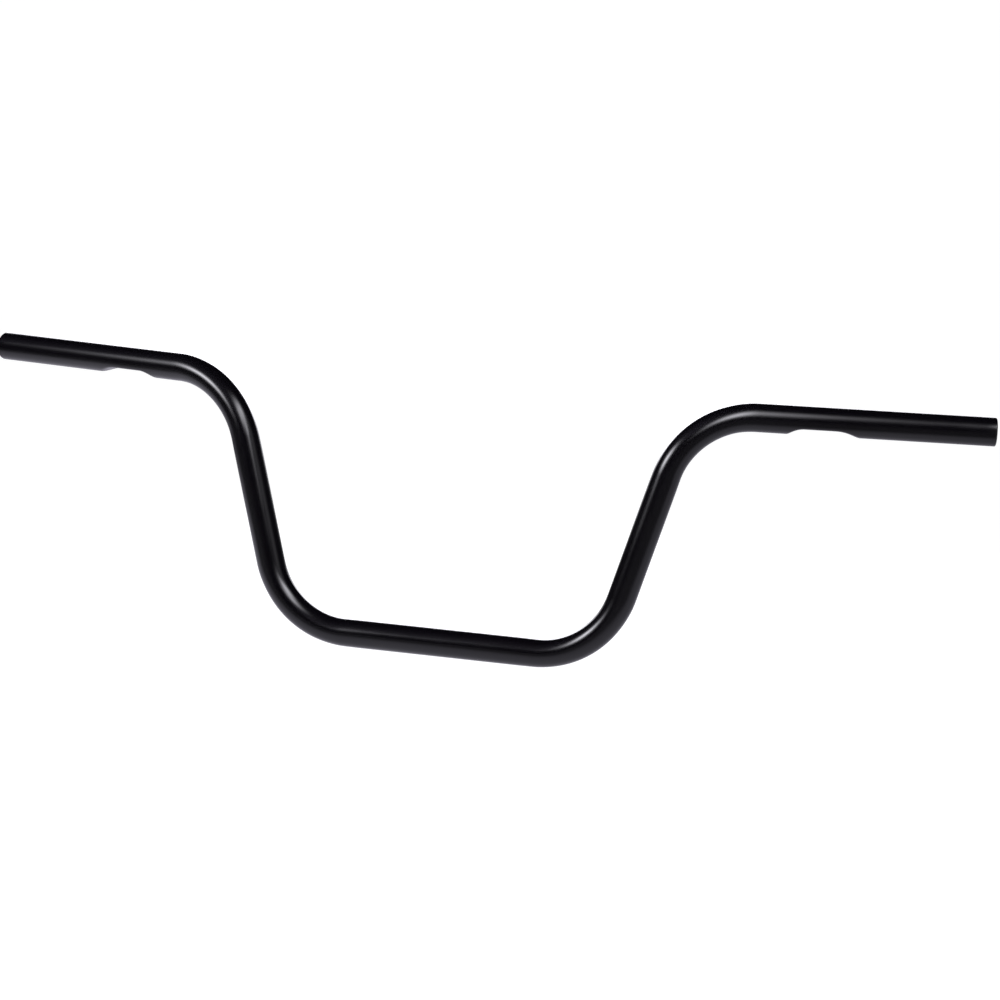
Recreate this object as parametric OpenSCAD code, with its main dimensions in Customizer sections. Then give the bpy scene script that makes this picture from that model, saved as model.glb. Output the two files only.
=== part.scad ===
// Ape hanger handlebar: one round tube with four bends, open at both ends.
// The origin is the middle of the centre section, where the clamps hold the bar.
// X runs along the centre section, Y points back towards the rider and Z points up.
// The tube is set out as it is bent: a straight length, a bend, a turn about the tube, and so on.

/* [Tube] */
// Outside diameter of the tube
tube_d = 25.4; // [22:0.1:30]
// Thickness of the tube's wall
wall = 2.5; // [1.5:0.1:4]
// Radius that takes the sharp outer edge off each open end
end_round = 0.8; // [0.2:0.1:1.2]
// Depth and width of the chamfer inside the mouth of each open end
mouth_chamfer = 0.6; // [0.2:0.1:1]

/* [Centre section] */
// Straight length between the two lower bends, which the clamps hold
centre_l = 178; // [100:1:300]
// Radius of each lower bend, at the middle of the tube
lower_bend_r = 79.5; // [50:0.5:120]

/* [Risers] */
// Straight length of each riser, between its two bends
riser_l = 114; // [20:1:400]
// How far each riser leans out, in parts for every 24 parts that it rises
riser_lean = 7; // [1:0.1:20]

/* [Grips] */
// Radius of each upper bend, at the middle of the tube
upper_bend_r = 79.5; // [50:0.5:120]
// How far each upper bend's plane is turned back about the riser, in parts for every 24 parts out
sweep_lean = 7; // [0:0.1:16]
// Straight length of each grip, from its bend to its open end
grip_l = 208; // [197:1:320]

/* [Wiring dimples] */
// Length of the full round at the open end, which a hand grip covers, up to the dimple
dimple_from_end = 121; // [90:1:130]
// Depth of the dimple's flat floor below the tube's surface
dimple_depth = 5.2; // [2:0.1:5.4]
// Length of the flat floor
dimple_floor_l = 27; // [5:1:36]
// Radius of the run-out towards the open end
outer_runout_r = 37; // [10:1:50]
// Radius of the run-out towards the bend
inner_runout_r = 20; // [10:1:50]
// How much thicker the wall is all round the dimple, where pressing gathers its metal
gathered = 0.2; // [0:0.05:0.6]
// Turn about the grip from the inside of its bend forward to the dimple, which brings it underneath
dimple_turn_a = 4.5; // [-20:0.1:20]

/* [Hidden] */

tube_r = tube_d / 2;
bore_r = tube_r - wall;
// How far a cutting shape runs past the face that it cuts
past = 1;
$fn = 96;

// Each lower bend turns the tube up to the riser's lean, and each upper bend turns it out by as much,
// which brings the grips nearly level
bend_a = atan2(24, riser_lean);
sweep_turn_a = atan2(sweep_lean, 24);

// Length that a round run-out takes to rise from the dimple's floor to the tube's surface
function runout_l(r) = sqrt(r * r - pow(r - dimple_depth, 2));

// Where the dimple's floor lies: along the grip from its bend, and out from the tube's middle
floor_end = grip_l - dimple_from_end - runout_l(outer_runout_r);
floor_start = floor_end - dimple_floor_l;
floor_x = tube_r - dimple_depth;

// Wall and bore round the dimple, and the stretch of the grip where the bore is that narrow,
// which reaches a little past the dimple at both ends
pressed_wall = wall + gathered;
pressed_r = tube_r - pressed_wall;
spare = 0.5;
pressed_start = floor_start - runout_l(inner_runout_r + pressed_wall) - spare;
pressed_end = floor_end + runout_l(outer_runout_r + pressed_wall) + spare;
// Length over which the bore eases back to its full size on each side
ease = 1.5;

// The right half's shape and its mirror image
module both_sides() {
    children();
    mirror([1, 0, 0]) children();
}

// Each place below is a frame whose Z runs along the tube towards the open end.
// A bend turns the tube towards the frame's X.

// The middle of the centre section, with bends turning up
module at_middle() rotate([0, 90, 0]) rotate([0, 0, 180]) children();

// The far end of a bend that starts at the frame's origin
module past_bend(bend_r, a)
    translate([bend_r, 0, 0]) rotate([0, a, 0]) translate([-bend_r, 0, 0]) children();

// The start of the lower bend, of the riser, of the upper bend and of the grip
module at_lower_bend() at_middle() translate([0, 0, centre_l / 2]) children();
module at_riser() at_lower_bend() past_bend(lower_bend_r, bend_a) children();
module at_upper_bend() at_riser() translate([0, 0, riser_l]) rotate([0, 0, 180 + sweep_turn_a]) children();
module at_grip() at_upper_bend() past_bend(upper_bend_r, bend_a) children();

// One bend of a round rod: a whole ring, kept to what lies between the frames at its two ends
module rod_bend(bend_r, a, r) {
    reach = 2 * (bend_r + r + past);
    intersection() {
        translate([bend_r, 0, 0]) rotate([90, 0, 0]) rotate_extrude() translate([bend_r, 0]) circle(r = r);
        translate([-reach / 2, -reach / 2, 0]) cube(reach);
        past_bend(bend_r, a) translate([-reach / 2, -reach / 2, -reach]) cube(reach);
    }
}

// Everything of one rod of radius r between the two grips
module rod_middle(r) {
    at_middle() cylinder(h = centre_l, r = r, center = true);
    both_sides() {
        at_lower_bend() rod_bend(lower_bend_r, bend_a, r);
        at_riser() cylinder(h = riser_l, r = r);
        at_upper_bend() rod_bend(upper_bend_r, bend_a, r);
    }
}

// Outside of a grip: a turned rod whose far edge is rounded
module grip_outside() {
    rotate_extrude() {
        square([tube_r, grip_l - end_round]);
        square([tube_r - end_round, grip_l]);
        translate([tube_r - end_round, grip_l - end_round]) intersection() {
            circle(r = end_round);
            square(end_round);
        }
    }
}

// Bore of a grip: a turned shape, narrower round the dimple, that leaves through a chamfered mouth
module grip_bore() {
    rotate_extrude() polygon([
        [0, 0], [bore_r, 0], [bore_r, pressed_start - ease],
        [pressed_r, pressed_start], [pressed_r, pressed_end],
        [bore_r, pressed_end + ease], [bore_r, grip_l - mouth_chamfer],
        [bore_r + mouth_chamfer + past, grip_l + past], [0, grip_l + past]
    ]);
}

// Side view of the die that presses a dimple: a flat floor between two round run-outs.
// It is kept to this grip. Grown by the wall, it is the shape that the wall's inside takes.
module dimple_profile(grow) {
    intersection() {
        union() {
            translate([floor_x - grow, floor_start]) square([tube_d, dimple_floor_l]);
            translate([floor_x + inner_runout_r, floor_start]) circle(r = inner_runout_r + grow);
            translate([floor_x + outer_runout_r, floor_end]) circle(r = outer_runout_r + grow);
        }
        square([tube_r + past, grip_l]);
    }
}

// The die itself: its side view carried right across the tube
module dimple_die(grow) {
    across = tube_d + 2 * past;
    rotate([0, 0, -dimple_turn_a]) translate([0, across / 2, 0]) rotate([90, 0, 0])
        linear_extrude(across) dimple_profile(grow);
}

// Outside of the whole bar, before its dimples are pressed
module bar_outside() {
    rod_middle(tube_r);
    both_sides() at_grip() grip_outside();
}

// Inside of the whole bar, which the pressed dimples narrow
module bar_inside() {
    rod_middle(bore_r);
    both_sides() at_grip() difference() {
        grip_bore();
        dimple_die(pressed_wall);
    }
}

// The bar: one bent tube, with a pressed dimple for the switch wiring under each grip
module handlebar() {
    color([0.09, 0.09, 0.1]) difference() {
        bar_outside();
        both_sides() at_grip() dimple_die(0);
        bar_inside();
    }
}

handlebar();
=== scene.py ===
"""Ape hanger handlebar: one bent tube in satin black powder coat, in a plain pale studio.

The tube is a single closed surface. Rings of points are carried along the tube's centreline, out over
one open end, back through the bore and round the other end. The tube's sizes are in millimetres, and
the studio's in metres.
"""

import bpy
import numpy as np
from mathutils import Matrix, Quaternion, Vector


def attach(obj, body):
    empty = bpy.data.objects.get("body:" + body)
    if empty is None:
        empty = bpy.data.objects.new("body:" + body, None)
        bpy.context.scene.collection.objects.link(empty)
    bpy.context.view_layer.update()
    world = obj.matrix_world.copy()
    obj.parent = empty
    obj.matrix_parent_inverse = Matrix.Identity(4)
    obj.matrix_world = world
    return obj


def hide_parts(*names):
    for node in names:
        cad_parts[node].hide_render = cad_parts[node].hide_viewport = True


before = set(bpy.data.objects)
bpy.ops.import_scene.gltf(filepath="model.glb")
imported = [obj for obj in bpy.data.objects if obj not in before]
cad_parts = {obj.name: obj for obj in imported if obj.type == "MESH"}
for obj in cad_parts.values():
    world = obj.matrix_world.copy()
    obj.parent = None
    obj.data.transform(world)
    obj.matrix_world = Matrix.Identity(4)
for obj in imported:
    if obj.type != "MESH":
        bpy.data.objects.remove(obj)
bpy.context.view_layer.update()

MM = 0.001

# Tube: its outside is a hair inside the CAD's 12.7, so that its finish stays within the CAD box
TUBE_R = 12.66
WALL = 2.46
# The ends' outer edge is a little rounder than the CAD's, as the coat leaves it
END_ROUND = 1.6
MOUTH_CHAMFER = 0.6

# Straight lengths, bends and the turn between the two bends of one side
HALF_CENTRE = 89.0
BEND_R = 79.5
BEND_A = np.arctan2(24, 7)
RISER = 114.0
SWEEP_TURN = np.arctan2(7, 24)
GRIP = 208.0
# Share that a bend takes off the tube's width in the plane of the bend, and the stretches, from the
# bend's start and from its end, over which that comes and goes
FLATTEN = 0.036
COMES_FROM, COMES_TO = -12, 22
GOES_FROM, GOES_TO = -26, 2

# Pressed dimple under each grip
DIMPLE_FROM_END = 121.0
DIMPLE_DEPTH = 5.2
DIMPLE_FLOOR = 27.0
OUTER_RUNOUT_R = 37.0
INNER_RUNOUT_R = 20.0
DIMPLE_TURN = np.radians(4.5)
PRESSED_WALL = 2.7
# Width of the soft edge between the dimple and the round tube
SHOULDER = 2.4

# Where the pieces of one half begin along its centreline
AT_LOWER = HALF_CENTRE
AT_RISER = AT_LOWER + BEND_R * BEND_A
AT_UPPER = AT_RISER + RISER
AT_GRIP = AT_UPPER + BEND_R * BEND_A
AT_END = AT_GRIP + GRIP
# The upper bend turns the other way round the tube, less its sweep
UPPER_TURN = np.pi + SWEEP_TURN

# Points round the tube, and rings along each straight piece, bend and grip
ROUND = 96
CENTRE_RINGS, BEND_RINGS, RISER_RINGS, GRIP_RINGS = 6, 60, 12, 14
# Distance between rings at the dimple, outside and in the bore
DIMPLE_STEP, BORE_STEP = 0.75, 2.0
# Narrow faces on both sides of a sharp edge, which keep it sharp under smooth shading, and the flat
# stretch of the rim that lies next to the mouth
EDGE = 0.04
RIM = 0.15


def smooth(x, start, end):
    """0 before start, 1 after end, and 3t^2 - 2t^3 between them."""
    t = np.clip((x - start) / (end - start), 0, 1)
    return t * t * (3 - 2 * t)


def soft_least(a, b, blend):
    """The lesser of a and b, rounded off by a parabola where they are within blend of each other."""
    t = np.clip(0.5 + 0.5 * (b - a) / blend, 0, 1)
    return b + (a - b) * t - blend * t * (1 - t)


def bent(place, across, side, along, radius, angle):
    """Carries a frame round a bend: the centre lies radius away in the direction across, and a point is
    centre - radius * across', where across' and along' are across and along turned by angle."""
    turned = np.cos(angle) * across - np.sin(angle) * along
    ahead = np.cos(angle) * along + np.sin(angle) * across
    return place + radius * (across - turned), turned, side + 0 * turned, ahead


def centreline(s):
    """Points of the +X half's centreline at the distances s from the middle, with two directions
    across it. They keep their turn about the tube, so a ring's points line up from one end to the other."""
    s = s[:, None]
    across, side, along = np.eye(3)[[2, 1, 0]] * [[1], [-1], [1]]
    start = np.zeros(3)

    def straight(length, place, ahead):
        return place + ahead * length

    def turn(a, b, angle):
        return np.cos(angle) * a + np.sin(angle) * b, np.cos(angle) * b - np.sin(angle) * a

    # the frame at the start of each piece of the half
    low = straight(HALF_CENTRE, start, along)
    riser = bent(low, across, side, along, BEND_R, BEND_A)
    top = straight(RISER, riser[0], riser[3])
    out, out_side = turn(riser[1], riser[2], UPPER_TURN)
    grip = bent(top, out, out_side, riser[3], BEND_R, BEND_A)

    low_a = np.clip(s - AT_LOWER, 0, AT_RISER - AT_LOWER) / BEND_R
    up_a = np.clip(s - AT_UPPER, 0, AT_GRIP - AT_UPPER) / BEND_R
    lower = bent(low, across, side, along, BEND_R, low_a)
    upper = bent(top, out, out_side, riser[3], BEND_R, up_a)
    back = turn(upper[1], upper[2], -UPPER_TURN)

    place = np.where(s < AT_LOWER, straight(s, start, along), lower[0])
    place = np.where(s > AT_RISER, straight(s - AT_RISER, riser[0], riser[3]), place)
    place = np.where(s > AT_UPPER, upper[0], place)
    place = np.where(s > AT_GRIP, straight(s - AT_GRIP, grip[0], grip[3]), place)
    above = s > AT_UPPER
    return place, np.where(above, back[0], lower[1]), np.where(above, back[1], lower[2])


def flattening(s, angle):
    """Share of the radius that the bends leave: 1 - FLATTEN * cos^2 of the angle from the bend's plane,
    eased in and out over the ends of the bend."""
    def bend(start, end, turn):
        comes = smooth(s, start + COMES_FROM, start + COMES_TO)
        goes = smooth(s, end + GOES_FROM, end + GOES_TO)
        return 1 - FLATTEN * comes * (1 - goes) * np.cos(angle - turn) ** 2
    return bend(AT_LOWER, AT_RISER, 0) * bend(AT_UPPER, AT_GRIP, UPPER_TURN)


def die_height(s, grown):
    """How far the dimple's die stays from the tube's middle: the floor's height, and past the floor's
    ends height + r - sqrt(r^2 - d^2), d being the distance past the end and r the run-out's radius."""
    outer, inner = OUTER_RUNOUT_R + grown, INNER_RUNOUT_R + grown
    reach = np.sqrt(OUTER_RUNOUT_R ** 2 - (OUTER_RUNOUT_R - DIMPLE_DEPTH) ** 2)
    floor_end = AT_END - DIMPLE_FROM_END - reach
    floor_start = floor_end - DIMPLE_FLOOR
    past_end = np.clip(s - floor_end, 0, outer)
    past_start = np.clip(floor_start - s, 0, inner)
    rise = outer - np.sqrt(outer ** 2 - past_end ** 2) + inner - np.sqrt(inner ** 2 - past_start ** 2)
    return TUBE_R - DIMPLE_DEPTH - grown + rise


def pressed(s, angle, radius, grown):
    """A round wall of that radius, cut off softly by the die's plane at height / cos(angle from the die)."""
    off = np.cos(angle - (UPPER_TURN - DIMPLE_TURN))
    plane = die_height(s, grown) / np.maximum(off, 0.05)
    return soft_least(plane, radius, SHOULDER)


def half_rings():
    """Distances along the half, and for each a ring of radii: outside, round the open end, and inside."""
    angle = np.linspace(0, 2 * np.pi, ROUND, endpoint=False)
    bore = TUBE_R - WALL
    # close rings run as far as a little past the dimple, and few along the plain grip
    past_dimple = AT_END - DIMPLE_FROM_END + 2
    shared = [
        np.linspace(start, end, count, endpoint=False) for start, end, count in [
            (0, AT_LOWER, CENTRE_RINGS), (AT_LOWER, AT_RISER, BEND_RINGS),
            (AT_RISER, AT_UPPER, RISER_RINGS), (AT_UPPER, AT_GRIP, BEND_RINGS)]]
    s_out = np.concatenate(shared + [
        np.arange(AT_GRIP, past_dimple, DIMPLE_STEP),
        np.linspace(past_dimple + 1, AT_END - END_ROUND, GRIP_RINGS)])
    s_in = np.concatenate([part[::2] for part in shared] + [
        np.arange(AT_GRIP, past_dimple, BORE_STEP),
        np.linspace(past_dimple + 2, AT_END - MOUTH_CHAMFER - 0.1, GRIP_RINGS // 2)])

    out = pressed(s_out[:, None], angle, TUBE_R * flattening(s_out[:, None], angle), 0)
    inside = pressed(s_in[:, None], angle, bore * flattening(s_in[:, None], angle), PRESSED_WALL)

    # the rounded outer edge, the flat rim and the chamfered mouth
    turn = np.linspace(0, np.pi / 2, 8)[1:]
    mouth = bore + MOUTH_CHAMFER
    rim_s = np.concatenate([
        AT_END - END_ROUND * (1 - np.sin(turn)),
        [AT_END, AT_END, AT_END - EDGE, AT_END - MOUTH_CHAMFER + EDGE]])
    rim_r = np.concatenate([
        TUBE_R - END_ROUND * (1 - np.cos(turn)),
        [mouth + RIM, mouth + EDGE, mouth - EDGE, bore + EDGE]])
    rim = np.repeat(rim_r[:, None], ROUND, axis=1)
    return s_out, out, rim_s, rim, s_in, inside, angle


def ring_points(s, radii, angle):
    """Points of rings at the distances s: centreline + radius * (cos(angle) across + sin(angle) side)."""
    place, across, side = centreline(s)
    turn = np.cos(angle)[None, :, None] * across[:, None] + np.sin(angle)[None, :, None] * side[:, None]
    return place[:, None] + radii[..., None] * turn


def tube_mesh():
    """The whole tube as one grid of rings that closes on itself both ways. One half mirrors the other."""
    s_out, out, rim_s, rim, s_in, inside, angle = half_rings()
    outer = ring_points(s_out, out, angle)
    end = ring_points(rim_s, rim, angle)
    inner = ring_points(s_in, inside, angle)
    # from the middle out to the end at +X, back inside to the middle, on to the other end and back outside
    near = np.concatenate([outer, end, inner[::-1]])
    far = near[::-1] * [-1, 1, 1]
    rings = np.concatenate([near, far[1:-1]]) * MM
    count, width = rings.shape[:2]
    i, j = np.meshgrid(np.arange(count), np.arange(width), indexing="ij")
    ahead, beside = (i + 1) % count, (j + 1) % width
    faces = np.stack([i * width + j, i * width + beside, ahead * width + beside, ahead * width + j], -1)
    mesh = bpy.data.meshes.new("handlebar_tube")
    mesh.from_pydata(rings.reshape(-1, 3), [], faces.reshape(-1, 4).tolist())
    mesh.polygons.foreach_set("use_smooth", np.ones(len(mesh.polygons), bool))
    mesh.update()
    return mesh


def powder_coat():
    """Satin black powder coat: a nearly black base under a soft gloss, as uneven as cured powder is."""
    material = bpy.data.materials.new("black_powder_coat")
    material.use_nodes = True
    nodes, links = material.node_tree.nodes, material.node_tree.links
    shader = nodes["Principled BSDF"]
    coords = nodes.new("ShaderNodeTexCoord")

    flow = nodes.new("ShaderNodeTexNoise")
    flow.inputs["Scale"].default_value = 700
    flow.inputs["Detail"].default_value = 2
    links.new(coords.outputs["Object"], flow.inputs["Vector"])
    bump = nodes.new("ShaderNodeBump")
    bump.inputs["Strength"].default_value = 0.05
    bump.inputs["Distance"].default_value = 0.0002
    links.new(flow.outputs["Fac"], bump.inputs["Height"])
    links.new(bump.outputs["Normal"], shader.inputs["Normal"])

    haze = nodes.new("ShaderNodeTexNoise")
    haze.inputs["Scale"].default_value = 30
    haze.inputs["Detail"].default_value = 3
    links.new(coords.outputs["Object"], haze.inputs["Vector"])
    gloss = nodes.new("ShaderNodeMapRange")
    gloss.inputs["From Min"].default_value = 0.3
    gloss.inputs["From Max"].default_value = 0.7
    gloss.inputs["To Min"].default_value = 0.16
    gloss.inputs["To Max"].default_value = 0.20
    links.new(haze.outputs["Fac"], gloss.inputs["Value"])
    links.new(gloss.outputs["Result"], shader.inputs["Roughness"])

    shader.inputs["Base Color"].default_value = (0.0025, 0.0021, 0.0032, 1)
    shader.inputs["IOR"].default_value = 1.5
    return material


handlebar = bpy.data.objects.new("handlebar_tube", tube_mesh())
bpy.context.scene.collection.objects.link(handlebar)
handlebar.data.materials.append(powder_coat())
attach(handlebar, "root")
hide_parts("handlebar")


# The floor: its height, the radius of its flat part, the cove round that, and the top of the wall
FLOOR_Z = -0.08
FLAT_R, COVE_R, WALL_TOP = 8.0, 1.5, 4.0
FLOOR_ROUND = 96
# The painted pool of light on the floor, a glow that only the gloss of the tube sees: it fades out in front,
# at -X and far away
LIT_LEVEL = 0.868
LIT_FROM, LIT_TO = -0.302, -0.036
LIT_LEFT_FROM, LIT_LEFT_TO = -1.44, -0.425
LIT_MIDDLE, LIT_REACH = -1.0, 1.576
# The slightly cool colours of what the tube mirrors
LAMP_TINT = (1.01, 1.0, 1.07)
FLOOR_TINT = (1.03, 1.0, 1.17, 1)
ROOM_TINT = (1.06, 1.0, 1.26, 1)
# The dark studio and its lighter side: their levels, and the direction of that side
ROOM, SIDE = 0.001, 0.216
SIDE_AT = (-0.480, -0.877, 0)
# The point that the softboxes face, and how far a softbox's panel spans, in widths and heights of its light
AIM = Vector((0, 0, 0.1))
ACROSS = 4


def math(nodes, links, operation, *values):
    """One Math node fed by numbers or sockets; its result."""
    node = nodes.new("ShaderNodeMath")
    node.operation = operation
    for socket, value in zip(node.inputs, values):
        if isinstance(value, (int, float)):
            socket.default_value = value
        else:
            links.new(value, socket)
    return node.outputs[0]


def floor_material():
    """White to the camera. Mirrored in the tube it shows a painted pool of light, glowing at level * step(x)
    * step(y) / (1 + (r / reach)^2), r being the distance from the pool's middle. Its own dark colour only
      carries the shadow."""
    material = bpy.data.materials.new("white_floor")
    material.use_nodes = True
    nodes, links = material.node_tree.nodes, material.node_tree.links
    shader = nodes["Principled BSDF"]
    shader.inputs["Base Color"].default_value = (0.15, 0.15, 0.15, 1)
    shader.inputs["Roughness"].default_value = 0.9
    shader.inputs["Specular IOR Level"].default_value = 0

    coords = nodes.new("ShaderNodeTexCoord")
    place = nodes.new("ShaderNodeSeparateXYZ")
    links.new(coords.outputs["Object"], place.inputs[0])

    def step(axis, start, end):
        fade = nodes.new("ShaderNodeMapRange")
        fade.interpolation_type = "SMOOTHSTEP"
        fade.inputs["From Min"].default_value = start
        fade.inputs["From Max"].default_value = end
        links.new(place.outputs[axis], fade.inputs["Value"])
        return fade.outputs["Result"]

    edges = math(nodes, links, "MULTIPLY", step("X", LIT_LEFT_FROM, LIT_LEFT_TO), step("Y", LIT_FROM, LIT_TO))
    away = nodes.new("ShaderNodeVectorMath")
    away.operation = "DISTANCE"
    away.inputs[1].default_value = (LIT_MIDDLE, 0, 0)
    links.new(coords.outputs["Object"], away.inputs[0])
    share = math(nodes, links, "DIVIDE", away.outputs["Value"], LIT_REACH)
    spread = math(nodes, links, "MULTIPLY_ADD", share, share, 1.0)
    # painted pool of light: emission standing in for the lamps' light on the floor, seen only in the tube's
    # gloss
    painted_pool = math(nodes, links, "DIVIDE", math(nodes, links, "MULTIPLY", edges, LIT_LEVEL), spread)

    path = nodes.new("ShaderNodeLightPath")
    glossy, through = path.outputs["Is Glossy Ray"], path.outputs["Is Transmission Ray"]
    mirrored = math(nodes, links, "MAXIMUM", glossy, through)
    seen = math(nodes, links, "MULTIPLY", mirrored, painted_pool)
    strength = math(nodes, links, "MAXIMUM", path.outputs["Is Camera Ray"], seen)
    links.new(strength, shader.inputs["Emission Strength"])
    tint = nodes.new("ShaderNodeMix")
    tint.data_type = "RGBA"
    tint.inputs["A"].default_value = (1, 1, 1, 1)
    tint.inputs["B"].default_value = FLOOR_TINT
    links.new(mirrored, tint.inputs["Factor"])
    links.new(tint.outputs["Result"], shader.inputs["Emission Color"])
    return material


def white_floor():
    """A pale floor that curves up into a low wall all round: a profile of radius and height, turned."""
    turn = np.linspace(0, np.pi / 2, 16)
    radius = np.concatenate([[0.0, 2.0, 5.0], FLAT_R + COVE_R * np.sin(turn), [FLAT_R + COVE_R]])
    height = np.concatenate([[0.0, 0.0, 0.0], COVE_R * (1 - np.cos(turn)), [WALL_TOP]])
    around = np.linspace(0, 2 * np.pi, FLOOR_ROUND, endpoint=False)
    points = np.stack(np.broadcast_arrays(
        radius[:, None] * np.cos(around), radius[:, None] * np.sin(around), height[:, None]), -1)
    i, j = np.meshgrid(np.arange(len(radius) - 1), np.arange(FLOOR_ROUND), indexing="ij")
    here, outward = i * FLOOR_ROUND, (i + 1) * FLOOR_ROUND
    beside = (j + 1) % FLOOR_ROUND
    faces = np.stack([here + j, outward + j, outward + beside, here + beside], -1)
    mesh = bpy.data.meshes.new("floor")
    mesh.from_pydata(points.reshape(-1, 3), [], faces.reshape(-1, 4).tolist())
    mesh.polygons.foreach_set("use_smooth", np.ones(len(mesh.polygons), bool))
    mesh.materials.append(floor_material())
    floor = bpy.data.objects.new("floor", mesh)
    floor.location.z = FLOOR_Z
    bpy.context.scene.collection.objects.link(floor)


def softbox(name, place, width, height, roll, radiance):
    """A softbox that faces the tube, rolled about its aim, with a bright middle: at u and v across it
    and up it the light is radiance * exp(-(u / width)^2 - (v / height)^2)."""
    lamp = bpy.data.lights.new(name, "AREA")
    lamp.shape = "RECTANGLE"
    lamp.size, lamp.size_y = ACROSS * width, ACROSS * height
    lamp.energy = radiance * lamp.size * lamp.size_y * np.pi
    lamp.color = LAMP_TINT
    lamp.use_nodes = True
    nodes, links = lamp.node_tree.nodes, lamp.node_tree.links
    place_on = nodes.new("ShaderNodeNewGeometry")
    out = nodes.new("ShaderNodeVectorMath")
    out.operation = "MULTIPLY_ADD"
    out.inputs[1].default_value = (ACROSS, ACROSS, 0)
    out.inputs[2].default_value = (-ACROSS / 2, -ACROSS / 2, 0)
    links.new(place_on.outputs["Parametric"], out.inputs[0])
    square = nodes.new("ShaderNodeVectorMath")
    square.operation = "DOT_PRODUCT"
    links.new(out.outputs["Vector"], square.inputs[0])
    links.new(out.outputs["Vector"], square.inputs[1])
    falloff = math(nodes, links, "EXPONENT", math(nodes, links, "MULTIPLY", square.outputs["Value"], -1.0))
    links.new(falloff, nodes["Emission"].inputs["Strength"])
    holder = bpy.data.objects.new(name, lamp)
    holder.location = place
    facing = (AIM - Vector(place)).to_track_quat("-Z", "Y")
    holder.rotation_euler = (facing @ Quaternion((0, 0, 1), roll)).to_euler()
    holder.visible_camera = False
    bpy.context.scene.collection.objects.link(holder)


def dim_room():
    """The studio past the floor: white to the camera, else room + side * cos^2 of the angle to its side."""
    world = bpy.data.worlds.new("studio")
    world.use_nodes = True
    nodes, links = world.node_tree.nodes, world.node_tree.links
    coords = nodes.new("ShaderNodeTexCoord")
    aimed = nodes.new("ShaderNodeVectorMath")
    aimed.operation = "DOT_PRODUCT"
    aimed.inputs[1].default_value = SIDE_AT
    links.new(coords.outputs["Generated"], aimed.inputs[0])
    near = math(nodes, links, "MAXIMUM", aimed.outputs["Value"], 0.0)
    glow = math(nodes, links, "MULTIPLY", math(nodes, links, "MULTIPLY", near, near), SIDE)
    path = nodes.new("ShaderNodeLightPath")
    dim = math(nodes, links, "ADD", glow, ROOM)
    strength = math(nodes, links, "MAXIMUM", path.outputs["Is Camera Ray"], dim)
    links.new(strength, nodes["Background"].inputs["Strength"])
    tint = nodes.new("ShaderNodeMix")
    tint.data_type = "RGBA"
    tint.inputs["A"].default_value = ROOM_TINT
    tint.inputs["B"].default_value = (1, 1, 1, 1)
    links.new(path.outputs["Is Camera Ray"], tint.inputs["Factor"])
    links.new(tint.outputs["Result"], nodes["Background"].inputs["Color"])
    bpy.context.scene.world = world


white_floor()
dim_room()
softbox("softbox_right_low", (0.290, -0.453, 0.439), 0.090, 0.136, -0.61, 6.19)
softbox("softbox_right_high", (0.363, -0.886, 0.883), 0.188, 0.317, -0.40, 7.53)
softbox("softbox_right_far", (3.343, -2.560, 4.0), 0.861, 1.202, -0.83, 8.59)
softbox("softbox_right_side", (1.275, -0.450, 0.1), 0.436, 1.822, 0.10, 0.59)
softbox("softbox_left", (-0.817, -0.782, 0.566), 0.271, 0.172, -0.37, 18.92)
# Behind the bar and in line with the camera, so that it lights only what is seen from behind
softbox("softbox_behind", (-0.6, 1.9, 0.6), 0.90, 0.30, 0, 7)

camera = bpy.data.cameras.new("camera")
camera.sensor_width = 36
camera.lens = 137.55
viewer = bpy.data.objects.new("camera", camera)
viewer.location = (1.03268, -3.23182, 0.42454)
viewer.rotation_euler = np.radians([85.050, -3.981, 17.306])
bpy.context.scene.collection.objects.link(viewer)
bpy.context.scene.camera = viewer
bpy.context.scene.view_settings.view_transform = "Standard"
